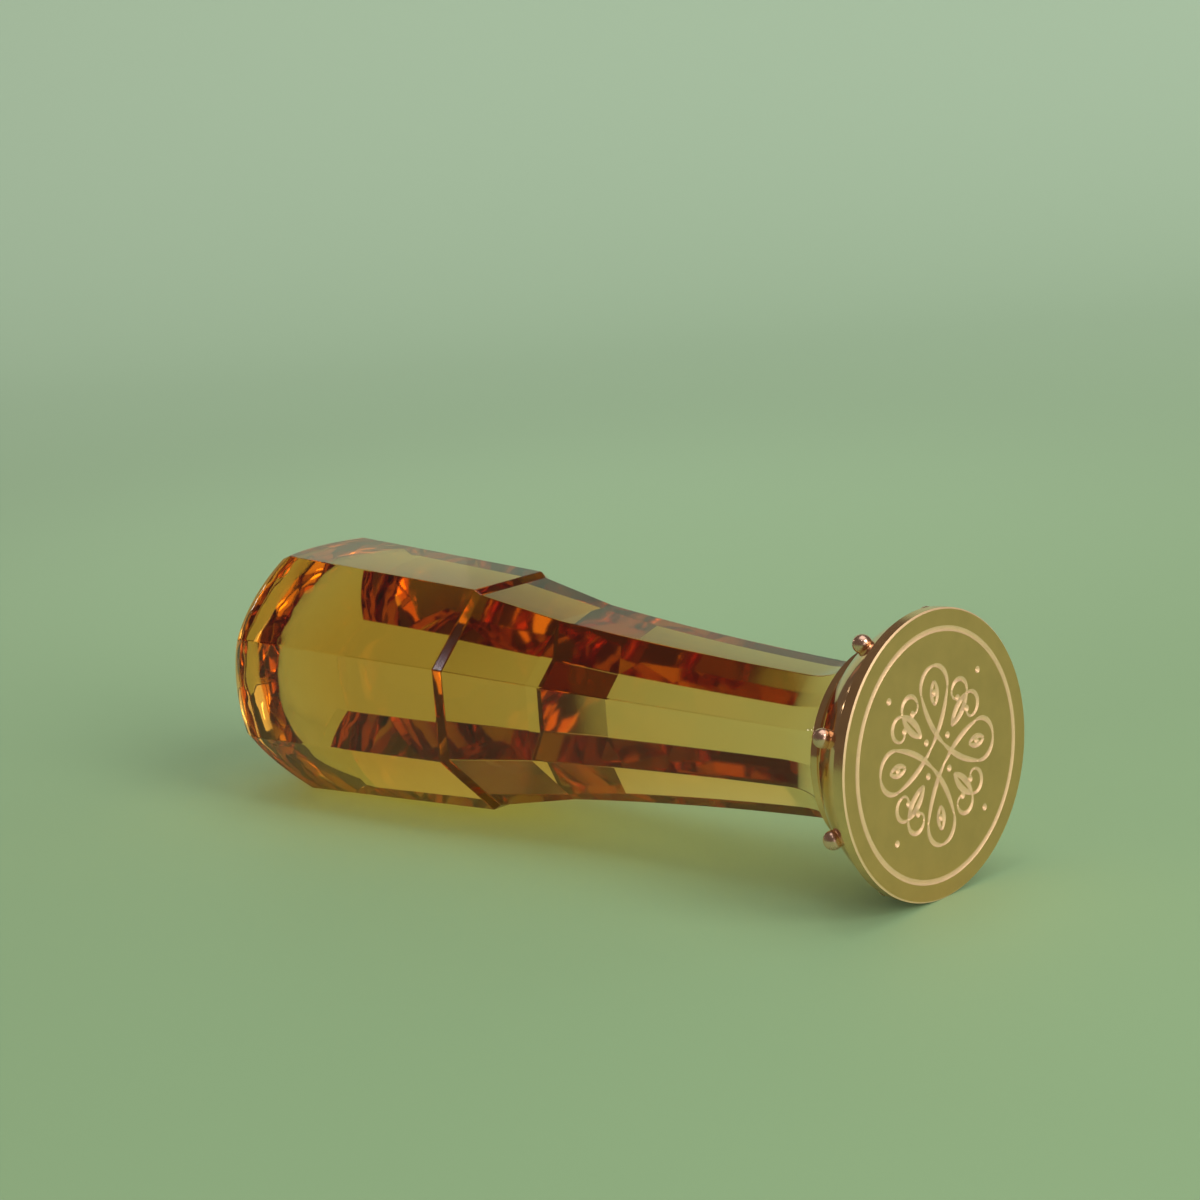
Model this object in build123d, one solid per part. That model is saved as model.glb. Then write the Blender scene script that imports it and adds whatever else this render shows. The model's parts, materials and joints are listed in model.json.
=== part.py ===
from build123d import *
import os
from math import atan, cos, hypot, radians, sin, sqrt, tan

# Desk seal for sealing wax: an eight-sided amber glass handle set in a brass head.
# All sizes are millimetres and degrees. Heights run along the seal's own axis from the die face.

# die plate
die_diameter = 28.0
die_thickness = 1.2
die_edge_break = 0.15
die_boss_lip = 0.6
die_boss_height = 0.6
die_boss_fit = 0.03

# engraving in the die face
border_margin = 1.975
border_groove = 0.54
hairline = 0.27
ornament_margin = 2.4
ornament_reach = 9.625
petal_start = 0.95
petal_lean = 31.0
petal_tip_radius = 2.05
petal_swell = 0.34
petal_tip_swell = 0.26
almond_start = 4.9
almond_radius = 1.75
almond_lean = 48.0
almond_swell = 0.24
leaf_start = 3.3
leaf_lean = 28.0
leaf_radius = 3.9
leaf_sweep = 58.0
leaf_swell = 0.4
curl_radius = 1.2
curl_sweep = 185.0
curl_swell = 0.24
curl_end_radius = 0.68
curl_end_sweep = 115.0
dot_diameter = 0.7
dot_flat = 0.02
inner_dot_place = 2.3

# head
dome_height = 4.9
dome_base_inset = 0.2
dome_top_land = 0.35
dome_bulge = 0.38
bead_diameter = 1.9
bead_rise = 2.25
bead_stand = 0.37
bead_turn = -3.5
bead_pin_diameter = 0.8
bead_pin_length = 1.5
bead_seat_gap = 0.02

# screw between head and ferrule
thread_diameter = 16.0
thread_pitch = 1.0
thread_depth = 0.5
thread_crest = 0.16
thread_fit = 0.05
thread_runout = 0.45
cup_end_gap = 0.5
washer_thickness = 0.3
washer_width = 1.3
washer_gap = 0.35

# ferrule and tenon
flange_lip = 1.9
flange_thickness = 1.0
flange_edge_break = 0.12
cup_floor = 0.7
cup_wall = 1.4
cement = 0.15

# glass handle
facet_pairs = 4
shoulder_margin = 0.6
throat_flats = 14.26
throat_height = 5.4
neck_ring_flats = 19.22
neck_ring_height = 37.6
neck_hollow = 0.25
step_root_flats = 23.06
step_root_height = 48.1
step_ledge = 0.57
step_bevel = 0.8
grip_end_flats = 27.2
grip_length = 30.2
end_rise = 6.65
end_break = 0.75
rest_flat = 0.03

# places that follow from the sizes
die_radius = die_diameter / 2
dome_top = die_thickness + dome_height
flange_low = dome_top + washer_thickness
flange_top = flange_low + flange_thickness
thread_radius = thread_diameter / 2
bore_radius = thread_radius + thread_fit
boss_radius = bore_radius + die_boss_lip
flange_radius = thread_radius + flange_lip
cup_low = die_thickness + die_boss_height + cup_end_gap
cup_inside = cup_low + cup_floor
cup_radius = thread_radius - cup_wall
tenon_radius = cup_radius - cement
tenon_end = cup_inside + cement
border_radius = die_radius - border_margin
ornament_scale = (border_radius - ornament_margin) / ornament_reach
facet_turn = 180 / facet_pairs
flat_share = cos(radians(facet_turn / 2))
shoulder_half = (flange_radius - shoulder_margin) * flat_share
step_half = step_root_flats / 2 + step_ledge
step_top = flange_top + step_root_height + step_bevel
grip_slope = (grip_end_flats / 2 - step_half) / grip_length
end_ring = step_top + grip_length
end_ring_radius = grip_end_flats / 2 / flat_share
end_radius = (end_ring_radius ** 2 + end_rise ** 2) / (2 * end_rise)
end_centre = end_ring + end_rise - end_radius

low = (Align.CENTER, Align.CENTER, Align.MIN)
corner = (Align.NONE, Align.NONE, Align.MIN)
over = 0.1


def disc(radius, bottom, top):
    """Plain disc about the axis between two heights."""
    return Pos(0, 0, bottom) * Cylinder(radius, top - bottom, align=low)


def cone(x, y, radius, depth, widen):
    """Round cutter that starts above the die face and changes its radius with depth."""
    return Pos(x, y, -over) * Cone(radius - widen * over, radius + widen * depth, depth + over, align=low)


def polar(distance, angle):
    """Point on the die at a distance from its middle."""
    return distance * cos(radians(angle)), distance * sin(radians(angle))


def swelled_arc(x, y, radius, start, sweep, extra):
    """V cut along an arc about x, y: a hairline at both ends, wider by extra in the middle."""
    half = radians(abs(sweep) / 2)
    middle = start + sweep / 2
    depth = (hairline + extra) / 2 + over
    walls = []
    for side in (1, -1):
        end = radius + side * hairline / 2
        crest = radius + side * (hairline + extra) / 2
        shift = (crest ** 2 - end ** 2) / (2 * (crest - end * cos(half)))
        dx, dy = polar(shift, middle)
        walls.append(cone(x + dx, y + dy, crest - shift, depth, -side))
    first = min(start, start + sweep)
    pie = Cylinder(radius + hairline + extra, depth + over, arc_size=abs(sweep), align=corner)
    return Pos(x, y, -over) * Rot(0, 0, first) * pie & (walls[0] - walls[1])


def stroke(x, y, heading, arcs):
    """Chain of tangent swelled arcs; returns the cuts and the end point."""
    cuts = []
    for radius, sweep, extra in arcs:
        side = 1 if sweep > 0 else -1
        dx, dy = polar(radius, heading + side * 90)
        cuts.append(swelled_arc(x + dx, y + dy, radius, heading - side * 90, sweep, extra))
        ex, ey = polar(radius, heading - side * 90 + sweep)
        x, y = x + dx + ex, y + dy + ey
        heading += sweep
    return cuts, (x, y)


def dot(x, y):
    """Drilled point in the die face."""
    return cone(x, y, dot_diameter / 2, (dot_diameter - dot_flat) / 2, -1)


def petal():
    """Half of a petal along +Y, from the diagonal to its tip on the axis."""
    start = petal_start * ornament_scale
    tip = petal_tip_radius * ornament_scale
    turned = radians(45 + petal_lean)
    radius = (start + tip * sin(turned)) / (sin(turned) - sin(radians(45)))
    arcs = [(radius, petal_lean, petal_swell), (tip, 135 - petal_lean, petal_tip_swell)]
    return stroke(-start, start, 45, arcs)[0]


def almond():
    """Half of the almond inside a petal, and its middle."""
    radius = almond_radius * ornament_scale
    start = almond_start * ornament_scale
    cuts, end = stroke(0, start, almond_lean, [(radius, 180 - 2 * almond_lean, almond_swell)])
    return cuts, (0, (start + end[1]) / 2)


def leaf():
    """One side of the scrolled leaf on a diagonal, and the end of its curl."""
    x, y = polar(leaf_start * ornament_scale, 45)
    arcs = [
        (leaf_radius * ornament_scale, leaf_sweep, leaf_swell),
        (curl_radius * ornament_scale, curl_sweep, curl_swell),
        (curl_end_radius * ornament_scale, curl_end_sweep, 0.0),
    ]
    return stroke(x, y, 45 - leaf_lean, arcs)


def engraving():
    """All cuts in the die face: a border line and a four-fold ornament of petals and leaves."""
    half = border_groove / 2
    outer = cone(0, 0, border_radius + half, half + over, -1)
    inner = cone(0, 0, border_radius - half, half + over, 1)
    cuts = [outer - inner]
    almond_cuts, almond_middle = almond()
    leaf_cuts, curl_end = leaf()
    mirrored = petal() + almond_cuts
    quarter = mirrored + [mirror(cut, Plane.YZ) for cut in mirrored]
    swap = Plane(origin=(0, 0, 0), z_dir=(1, -1, 0))
    quarter += leaf_cuts + [mirror(cut, swap) for cut in leaf_cuts]
    quarter += [dot(*almond_middle), dot(*curl_end), dot(curl_end[1], curl_end[0])]
    for place in (inner_dot_place, ornament_reach):
        quarter.append(dot(*polar(place * ornament_scale, 45)))
    for turn in range(4):
        cuts += [Rot(0, 0, 90 * turn) * cut for cut in quarter]
    return cuts


def make_die():
    """Engraved plate with a centring boss on its back."""
    plate = disc(die_radius, 0, die_thickness)
    front = plate.edges().filter_by(GeomType.CIRCLE).sort_by(Axis.Z)[0]
    plate = chamfer(front, die_edge_break)
    plate = plate + disc(boss_radius, die_thickness, die_thickness + die_boss_height)
    return plate - engraving()


def dome_arc():
    """Start, middle and end of the dome's outside in its section plane."""
    start = Vector(die_radius - dome_base_inset, 0, die_thickness)
    end = Vector(flange_radius + dome_top_land, 0, dome_top)
    chord = end - start
    out = Vector(chord.Z, 0, -chord.X).normalized()
    return start, (start + end) * 0.5 + out * dome_bulge, end


def bead_seat():
    """Bead centre and outward direction in the section plane."""
    start, middle, end = dome_arc()
    half = (end - start).length / 2
    radius = (half ** 2 + dome_bulge ** 2) / (2 * dome_bulge)
    centre = middle + ((start + end) * 0.5 - middle).normalized() * radius
    rise = die_thickness + bead_rise - centre.Z
    out = Vector(sqrt(radius ** 2 - rise ** 2), 0, rise).normalized()
    return centre + out * (radius + bead_stand), out


def bead(gap):
    """One ball with its pin, or with a gap the seat that takes it."""
    centre, out = bead_seat()
    ball = Pos(centre.X, centre.Y, centre.Z) * Sphere(bead_diameter / 2 + gap)
    inward = Plane(origin=centre, z_dir=out * -1)
    length = bead_diameter / 2 + bead_pin_length + gap
    return ball + inward.location * Cylinder(bead_pin_diameter / 2 + gap, length, align=low)


def bead_angles():
    """Turn of each bead about the axis, one near each ridge of the handle."""
    return [facet_turn * (k + 0.5) + bead_turn for k in range(2 * facet_pairs)]


def make_dome():
    """Polished dome, bored for the ferrule's thread and the die's boss."""
    start, middle, end = [tuple(point) for point in dome_arc()]
    outline = [
        Line((0, 0, die_thickness), start),
        ThreePointArc(start, middle, end),
        Line(end, (0, 0, dome_top)),
        Line((0, 0, dome_top), (0, 0, die_thickness)),
    ]
    body = revolve(make_face(outline), Axis.Z, 360)
    body = body - disc(bore_radius, die_thickness, dome_top)
    body = body - disc(boss_radius + die_boss_fit, die_thickness, die_thickness + die_boss_height)
    seat = bead(bead_seat_gap)
    return body - [Rot(0, 0, angle) * seat for angle in bead_angles()]


def make_washer():
    """Friction washer on the dome, under the flange."""
    inner = thread_radius + washer_gap
    return disc(inner + washer_width, dome_top, flange_low) - disc(inner, dome_top, flange_low)


def thread_grooves():
    """Thread of the ferrule, cut as V grooves at its pitch."""
    first = cup_low + thread_runout
    count = int((flange_low - thread_runout - first) / thread_pitch)
    half = (thread_pitch - thread_crest) / 2
    grooves = []
    for turn in range(count):
        height = first + thread_pitch * (turn + 0.5)
        corners = [
            (thread_radius - thread_depth, 0, height),
            (thread_radius + over, 0, height + half * (1 + over / thread_depth)),
            (thread_radius + over, 0, height - half * (1 + over / thread_depth)),
        ]
        grooves.append(revolve(make_face(Polyline(*corners, close=True)), Axis.Z, 360))
    return grooves


def make_ferrule():
    """Flanged cup that holds the tenon and carries the outside thread."""
    flange = disc(flange_radius, flange_low, flange_top)
    flange = chamfer(flange.edges().filter_by(GeomType.CIRCLE), flange_edge_break)
    cup = disc(thread_radius, cup_low, flange_top) - thread_grooves()
    return cup + flange - disc(cup_radius, cup_inside, flange_top)


def make_cement():
    """Cement between the tenon and the cup."""
    return disc(cup_radius, cup_inside, flange_top) - disc(tenon_radius, tenon_end, flange_top)


def facet_outline():
    """Section across one pair of opposite facets, from the shoulder to beyond the end."""
    top = end_ring + end_rise + over
    shoulder = (shoulder_half, flange_top)
    throat = (throat_flats / 2, flange_top + throat_height)
    crease = (neck_ring_flats / 2, flange_top + neck_ring_height)
    root = (step_root_flats / 2, flange_top + step_root_height)
    lip = (step_half, step_top)
    crown = (step_half + grip_slope * (top - step_top), top)
    chord = hypot(crease[0] - throat[0], crease[1] - throat[1])
    hollow = (
        (throat[0] + crease[0]) / 2 - neck_hollow * (crease[1] - throat[1]) / chord,
        (throat[1] + crease[1]) / 2 + neck_hollow * (crease[0] - throat[0]) / chord,
    )
    edges = []
    for side in (1, -1):
        a, b, c, d, e, f, g = [
            (side * x, 0, z) for x, z in (shoulder, throat, hollow, crease, root, lip, crown)
        ]
        neck = ThreePointArc(b, c, d)
        edges += [neck, TangentArc([b, a], tangent=(neck % 0) * -1), Line(d, e), Line(e, f), Line(f, g)]
    edges.append(Line((-shoulder[0], 0, shoulder[1]), (shoulder[0], 0, shoulder[1])))
    edges.append(Line((-crown[0], 0, crown[1]), (crown[0], 0, crown[1])))
    return make_face(edges)


def rest_tilt():
    """Tilt of the axis when the seal lies on the die's rim and the flat at the end of a facet."""
    flat = step_half - grip_slope * step_top
    a = 1 + grip_slope ** 2
    b = grip_slope * flat - end_centre
    c = flat ** 2 + end_centre ** 2 - end_radius ** 2
    edge = (-b + sqrt(b ** 2 - a * c)) / a
    height = edge - end_break * cos(atan(grip_slope))
    radius = flat + grip_slope * height - rest_flat
    return atan((die_radius - radius) / (height - die_thickness))


def rest_cutter():
    """Cutter for the small flat that a facet's end lies on."""
    top = end_ring + end_rise
    radii = [die_radius - (height - die_thickness) * tan(rest_tilt()) for height in (step_top, top)]
    outside = 2 * end_ring_radius
    corners = [(radii[0], 0, step_top), (radii[1], 0, top), (outside, 0, top), (outside, 0, step_top)]
    outline = make_face(Polyline(*corners, close=True))
    return extrude(outline, amount=end_ring_radius, dir=(0, 1, 0), both=True)


def make_handle():
    """Glass handle: facet pairs crossed, a domed end with a polished edge and a round tenon."""
    slab = extrude(facet_outline(), amount=2 * end_ring_radius, dir=(0, 1, 0), both=True)
    body = slab
    for turn in range(1, facet_pairs):
        body = body & Rot(0, 0, facet_turn * turn) * slab
    body = body & (disc(end_radius, 0, end_centre) + Pos(0, 0, end_centre) * Sphere(end_radius))
    crown = body.faces().filter_by(GeomType.SPHERE)[0]
    body = chamfer(crown.edges(), end_break)
    cutter = rest_cutter()
    body = body - [Rot(0, 0, facet_turn * turn) * cutter for turn in range(2 * facet_pairs)]
    return body + disc(tenon_radius, tenon_end, flange_top)


def lay_down():
    """Place of the seal's axis in the part's frame, with the seal lying on z = 0."""
    tilt = rest_tilt()
    lift = die_radius * cos(tilt) + die_thickness * sin(tilt)
    ahead = die_radius * abs(sin(tilt))
    behind = end_centre * cos(tilt) + end_radius
    up = (-sin(tilt), 0, cos(tilt))
    along = (-cos(tilt), 0, -sin(tilt))
    return Plane(origin=((behind - ahead) / 2, 0, lift), x_dir=up, z_dir=along).location


def make_parts():
    """Every piece by name, in place."""
    pieces = {
        "crystal_handle": make_handle(),
        "tenon_cement": make_cement(),
        "ferrule": make_ferrule(),
        "friction_washer": make_washer(),
        "head_dome": make_dome(),
        "die_plate": make_die(),
    }
    one = bead(0.0)
    for number, angle in enumerate(bead_angles(), start=1):
        pieces["bead_pin_%d" % number] = Rot(0, 0, angle) * one
    place = lay_down()
    return {name: place * piece for name, piece in pieces.items()}


os.makedirs("parts", exist_ok=True)
for name, piece in make_parts().items():
    piece.label = name
    export_step(piece, "parts/%s.step" % name)
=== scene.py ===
import json
import math

import bmesh
import bpy
from mathutils import Matrix, Vector


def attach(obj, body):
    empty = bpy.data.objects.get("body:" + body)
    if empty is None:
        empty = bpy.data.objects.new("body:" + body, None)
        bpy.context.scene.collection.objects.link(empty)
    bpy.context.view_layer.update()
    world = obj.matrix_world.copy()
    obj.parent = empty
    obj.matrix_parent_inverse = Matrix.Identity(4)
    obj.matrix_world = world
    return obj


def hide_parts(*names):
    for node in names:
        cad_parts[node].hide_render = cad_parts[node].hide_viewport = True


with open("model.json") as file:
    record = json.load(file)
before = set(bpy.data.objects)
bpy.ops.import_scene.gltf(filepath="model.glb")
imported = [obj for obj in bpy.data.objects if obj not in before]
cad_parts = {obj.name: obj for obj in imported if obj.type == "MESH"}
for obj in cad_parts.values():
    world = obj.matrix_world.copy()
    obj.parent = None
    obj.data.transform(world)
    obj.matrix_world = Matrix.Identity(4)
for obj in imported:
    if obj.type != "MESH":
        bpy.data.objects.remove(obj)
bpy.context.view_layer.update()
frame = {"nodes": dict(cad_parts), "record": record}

bl_info = {
    "name": "Wax seal",
    "version": (1, 0, 0),
    "blender": (4, 5, 0),
    "location": "View3D > Sidebar > Wax seal",
    "description": "Models a hand seal for sealing wax: faceted amber glass handle, brass head, engraved die",
    "category": "Object",
}

MM = 0.001
DIE_FACE = frame["record"]["mounts"][0]
FACE_CENTRE = Vector(DIE_FACE["pos_m"])
FACE_OUT = Vector(DIE_FACE["axis"]).normalized()

FACETS = 8
FACET = math.tau / FACETS
HALF_FACET = FACET / 2
MERGE = MM / 1000

# Steps of the curves and cuts of the facets
FACET_CUTS = 11
THROAT_STEPS = 16
NECK_STEPS = 40
END_STEPS = 26
DOME_STEPS = 24
SEAT_STEPS = 200
DOME_TURN_STEPS = 256
FERRULE_TURN_STEPS = 192
WASHER_TURN_STEPS = 128
BEAD_SEGMENTS = 48
BEAD_RINGS = 32
SWEEP_STEPS = 40

# Angles in degrees up to which an edge is shaded smooth, and from which a ridge is broken
TURNED_SMOOTH = 25.0
BEAD_SMOOTH = 40.0
GLASS_SMOOTH = 3.4
GLASS_RIDGE = 20.0

# Half width of a thread groove for each pitch
GROOVE_HALF = 0.42

# Materials of the die, and how far its side and its cuts face outwards at most
SATIN = 0
CUT = 1
SIDE = 2
SIDE_LEAN = 0.3
CUT_LEAN = 0.95

# Usual reach of a noise
NOISE_LOW = 0.3
NOISE_HIGH = 0.7

# Light and camera
CLEAR_BOUNCES = 24
GLOSSY_BOUNCES = 12
ORIGIN = (0, 0, 0)
MIDDLE = (0, 0, 0.02)
WHITE = (1.0, 1.0, 1.0)
WARM_WHITE = (1.0, 0.98, 0.95)
DAYLIGHT = (1.0, 0.97, 0.92)
EVENING = (1.0, 0.95, 0.9)
COOL = (0.97, 0.94, 1.0)
AMBER = (1.0, 0.74, 0.42)
EMBER = (1.0, 0.5, 0.34)
POOL_LAMP = 0.05
SENSOR_WIDTH = 36.0
NEAR_CLIP = 0.01


def length(name, description, millimetres):
    """Property for a size of the seal, given in millimetres."""
    return bpy.props.FloatProperty(
        name=name, description=description, default=millimetres * MM, unit="LENGTH"
    )


def angle(name, description, degrees):
    """Property for an angle, given in degrees."""
    return bpy.props.FloatProperty(
        name=name, description=description, default=math.radians(degrees), subtype="ANGLE"
    )


def colour(name, description, red, green, blue):
    """Property for a colour."""
    return bpy.props.FloatVectorProperty(
        name=name, description=description, default=(red, green, blue), subtype="COLOR", min=0.0, max=1.0
    )


def number(name, description, value):
    """Property for a plain number."""
    return bpy.props.FloatProperty(name=name, description=description, default=value)


class SealSizes(bpy.types.PropertyGroup):
    """Sizes of the seal; heights run along its axis from the die face."""

    die_diameter: length("Die diameter", "Outside of the die plate", 28.0)
    die_thickness: length("Die thickness", "Plate under the dome", 1.2)
    boss_height: length("Boss height", "Centring boss on the back of the die", 0.6)
    boss_radius: length("Boss radius", "Counterbore of the dome for the boss", 8.68)
    dome_height: length("Dome height", "Dome from the die to the washer", 4.9)
    dome_base_inset: length("Dome inset", "Step between the die's rim and the dome", 0.2)
    dome_top_radius: length("Dome top", "Radius of the dome's upper edge", 10.25)
    dome_bulge: length("Dome bulge", "Swell of the dome's outside over its chord", 0.38)
    bead_diameter: length("Bead diameter", "Ball on the dome", 1.9)
    bead_rise: length("Bead height", "Seat of the beads above the die plate", 2.25)
    bead_stand: length("Bead stand", "Bead centres outside the dome", 0.37)
    bead_turn: angle("Bead turn", "Turn of the beads from the ridges", -3.5)
    bead_pin_diameter: length("Bead pin", "Pin that holds a bead", 0.8)
    bead_pin_length: length("Bead pin length", "Pin below its bead", 1.5)
    thread_radius: length("Thread radius", "Outside of the ferrule's thread", 8.0)
    thread_pitch: length("Thread pitch", "Travel of the head in one turn", 1.0)
    thread_depth: length("Thread depth", "Depth of the thread grooves", 0.5)
    thread_fit: length("Thread fit", "Clearance between thread and bore", 0.05)
    thread_runout: length("Thread runout", "Plain stretch at both ends of the thread", 0.45)
    cup_low: length("Cup end", "Lower end of the ferrule's cup", 2.3)
    cup_floor: length("Cup floor", "Floor of the ferrule's cup", 0.7)
    cup_wall: length("Cup wall", "Wall of the ferrule's cup", 1.4)
    washer_thickness: length("Washer thickness", "Friction washer under the flange", 0.3)
    washer_inner: length("Washer hole", "Inner radius of the friction washer", 8.35)
    washer_outer: length("Washer edge", "Outer radius of the friction washer", 9.65)
    flange_radius: length("Flange radius", "Flange between dome and glass", 9.9)
    flange_thickness: length("Flange thickness", "Flange between dome and glass", 1.0)
    flange_edge: length("Flange edge", "Rounding of the flange's rim", 0.12)
    tenon_radius: length("Tenon radius", "Round tenon of the glass", 6.45)
    tenon_end: length("Tenon end", "Height of the tenon's lower end", 3.15)
    shoulder_half: length("Shoulder", "Axis to facet at the shoulder", 8.592)
    throat_half: length("Throat", "Axis to facet at the throat", 7.13)
    throat_height: length("Throat height", "Throat above the shoulder", 5.4)
    crease_half: length("Neck crease", "Axis to facet at the crease of the neck", 9.61)
    crease_height: length("Crease height", "Crease above the shoulder", 37.6)
    neck_hollow: length("Neck hollow", "Hollow of the neck's facets over their chord", 0.25)
    step_root_half: length("Step root", "Axis to facet under the step", 11.53)
    step_root_height: length("Step height", "Step above the shoulder", 48.1)
    step_half: length("Step", "Axis to facet on the step", 12.1)
    step_bevel: length("Step bevel", "Height of the step's slope", 0.8)
    grip_half: length("Grip end", "Axis to facet at the end of the grip", 13.6)
    grip_length: length("Grip length", "Grip from the step to the end of its ridges", 30.2)
    end_rise: length("End rise", "Domed end above the end of the ridges", 6.65)
    end_break: length("End edge", "Polished edge round the domed end", 0.75)
    ridge_break: length("Ridge edge", "Polish on the ridges of the glass", 0.09)
    glass_gap: length("Glass gap", "Air between the glass and the ferrule", 0.02)


class SealFinish(bpy.types.PropertyGroup):
    """Colours and finishes of the seal."""

    glass_absorb: colour("Glass tint", "What the glass lets through", 0.955, 0.74, 0.12)
    glass_density: number("Glass density", "Strength of the tint for each metre of glass", 100.0)
    glass_index: number("Glass index", "Refractive index of the glass", 1.515)
    glass_roughness: number("Glass roughness", "Haze of the polished glass", 0.045)
    glass_waves: number("Glass waves", "Waves of the polish in each metre", 45.0)
    end_dimples: number("End dimples", "Dimples of the domed end in each metre", 480.0)
    dimple_share: number("Dimple share", "Height of the dimples next to the waves", 0.7)
    dimple_blend: length("Dimple blend", "Stretch of the grip in which the dimples fade", 2.0)
    polish_strength: number("Polish strength", "Strength of the waves", 0.4)
    polish_depth: length("Polish depth", "Depth of the waves", 0.2)
    brass: colour("Brass", "Polished brass of the head", 0.96, 0.60, 0.29)
    die_brass: colour("Die", "Satin brass of the die face", 0.89, 0.525, 0.222)
    bright_cut: colour("Bright cut", "Fresh brass in the engraving", 0.92, 0.61, 0.34)
    # Rosier than the brass of the head: a painted tint for the warm reflections that the beads show.
    bead: colour("Beads", "Polished beads of the head", 0.93, 0.58, 0.42)
    washer: colour("Washer", "Fibre of the friction washer", 0.05, 0.035, 0.025)
    cement: colour("Cement", "Cement round the tenon", 0.50, 0.40, 0.24)


class SealStage(bpy.types.PropertyGroup):
    """Camera, floor and light."""

    floor: colour("Floor", "Sage green paper under the seal", 0.258, 0.396, 0.202)
    # The paper pales towards the backdrop: a painted gradient of light, brighter far behind the seal.
    backdrop: colour("Backdrop", "Paler paper far behind the seal", 0.43, 0.57, 0.40)
    # Painted glow: the floor behind the seal, as the glass shows it, is painted brighter and warmer.
    painted_glow_beyond: colour("Floor beyond", "Floor behind the seal as the glass shows it", 0.36, 0.45, 0.25)
    # Painted shadow and painted shade: the floor under and before the seal, as the glass shows it, is painted
    # darker.
    painted_shadow_beneath: colour("Floor beneath", "Floor under the seal as the glass shows it", 0.13, 0.145, 0.08)
    painted_shade_front: colour("Floor in front", "Floor before the seal as the glass shows it", 0.21, 0.27, 0.15)
    # Where across the seal the painted shade, the painted shadow and the painted glow reach full strength
    front_end: length("Front end", "Across the seal: the front tone is full up to here", -34.0)
    beneath_front: length("Beneath, front", "Across the seal: the tone beneath is full from here", -18.0)
    beneath_back: length("Beneath, back", "Across the seal: the tone beneath is full up to here", -2.0)
    beyond_start: length("Beyond start", "Across the seal: the tone beyond is full from here", 18.0)
    floor_width: length("Floor width", "Side of the floor across the view", 1000.0)
    floor_depth: length("Floor depth", "Side of the floor along the view", 2000.0)
    floor_shift: length("Floor shift", "Floor's middle beside the seal", 155.0)
    backdrop_height: length("Backdrop height", "Backdrop above the floor", 620.0)
    sweep: length("Sweep", "Width of the curve between floor and backdrop", 600.0)
    # Where the painted gradient of light on the paper starts and ends
    fade_near: length("Fade start", "Place along the view where the paper starts to pale", -100.0)
    fade_far: length("Fade end", "Place along the view where the paper is palest", 740.0)
    fill: colour("Fill", "Even light from all round", 0.41, 0.41, 0.41)
    through: number("Through light", "Light that falls through the glass on the floor", 2.1)
    room: colour("Room", "Dim room seen in the brass", 0.12, 0.10, 0.085)
    room_through: colour("Room through glass", "Dim room as the glass shows it", 0.055, 0.047, 0.041)
    lens: number("Lens", "Focal length of the camera in millimetres on a 36 mm frame", 84.0)
    azimuth: angle("Azimuth", "Camera from the die's outward axis towards its near side", 45.34)
    elevation: angle("Elevation", "Camera above the floor", 12.01)
    roll: angle("Roll", "Lean of the camera", 4.38)
    die_right: length("Die right", "Die centre right of the picture's middle", 31.7)
    die_down: length("Die down", "Die centre below the picture's middle", 14.6)
    die_ahead: length("Die ahead", "Die centre in front of the camera", 262.7)


def seat_matrix():
    """Seal's own frame: its axis along Z from the die face into the handle, a facet upwards along X."""
    z = -FACE_OUT
    y = Vector((0.0, 1.0, 0.0))
    x = y.cross(z)
    matrix = Matrix((x, y, z)).transposed().to_4x4()
    matrix.translation = FACE_CENTRE
    return matrix


def begin(add, name, **options):
    """Add a primitive with nothing else selected, name it and open it for editing."""
    bpy.ops.object.select_all(action="DESELECT")
    add(**options)
    piece = bpy.context.active_object
    piece.name = name
    bpy.ops.object.mode_set(mode="EDIT")
    return piece


def finish_piece(piece, body, node, material, smooth=TURNED_SMOOTH):
    """Close editing, lay the piece in its place, shade it, give it its material, tie it to its body and hide
    the node it stands for.
    """
    bpy.ops.object.mode_set(mode="OBJECT")
    piece.matrix_world = seat_matrix() @ piece.matrix_world
    bpy.ops.object.transform_apply(location=True, rotation=True, scale=True)
    bpy.ops.object.shade_smooth_by_angle(angle=math.radians(smooth))
    piece.data.materials.clear()
    piece.data.materials.append(material)
    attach(piece, body)
    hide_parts(node)
    return piece


def clean_shell():
    """Merge doubles and turn the faces of the open edit mesh outwards."""
    bpy.ops.mesh.select_all(action="SELECT")
    bpy.ops.mesh.remove_doubles(threshold=MERGE)
    bpy.ops.mesh.normals_make_consistent(inside=False)


def pick(piece, kind, test):
    """Select only the vertices, edges or faces of the open edit mesh that pass a test."""
    bpy.ops.mesh.select_all(action="DESELECT")
    mesh = bmesh.from_edit_mesh(piece.data)
    for item in getattr(mesh, kind):
        if test(item):
            item.select_set(True)
    mesh.select_flush(True)
    bmesh.update_edit_mesh(piece.data)


def turn_outline(name, outline, steps):
    """Spin a closed outline of radius and height about the seal's axis."""
    piece = begin(bpy.ops.mesh.primitive_plane_add, name, size=MM)
    bpy.ops.mesh.select_all(action="SELECT")
    bpy.ops.mesh.merge(type="CENTER")
    place = (0.0, 0.0)
    for index, point in enumerate(outline + outline[:1]):
        move = (point[0] - place[0], 0.0, point[1] - place[1])
        if index == 0:
            bpy.ops.transform.translate(value=move)
        else:
            bpy.ops.mesh.extrude_vertices_move(TRANSFORM_OT_translate={"value": move})
        place = point
    bpy.ops.mesh.select_all(action="SELECT")
    bpy.ops.mesh.spin(steps=steps, angle=math.tau, center=(0, 0, 0), axis=(0, 0, 1))
    clean_shell()
    return piece


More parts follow.
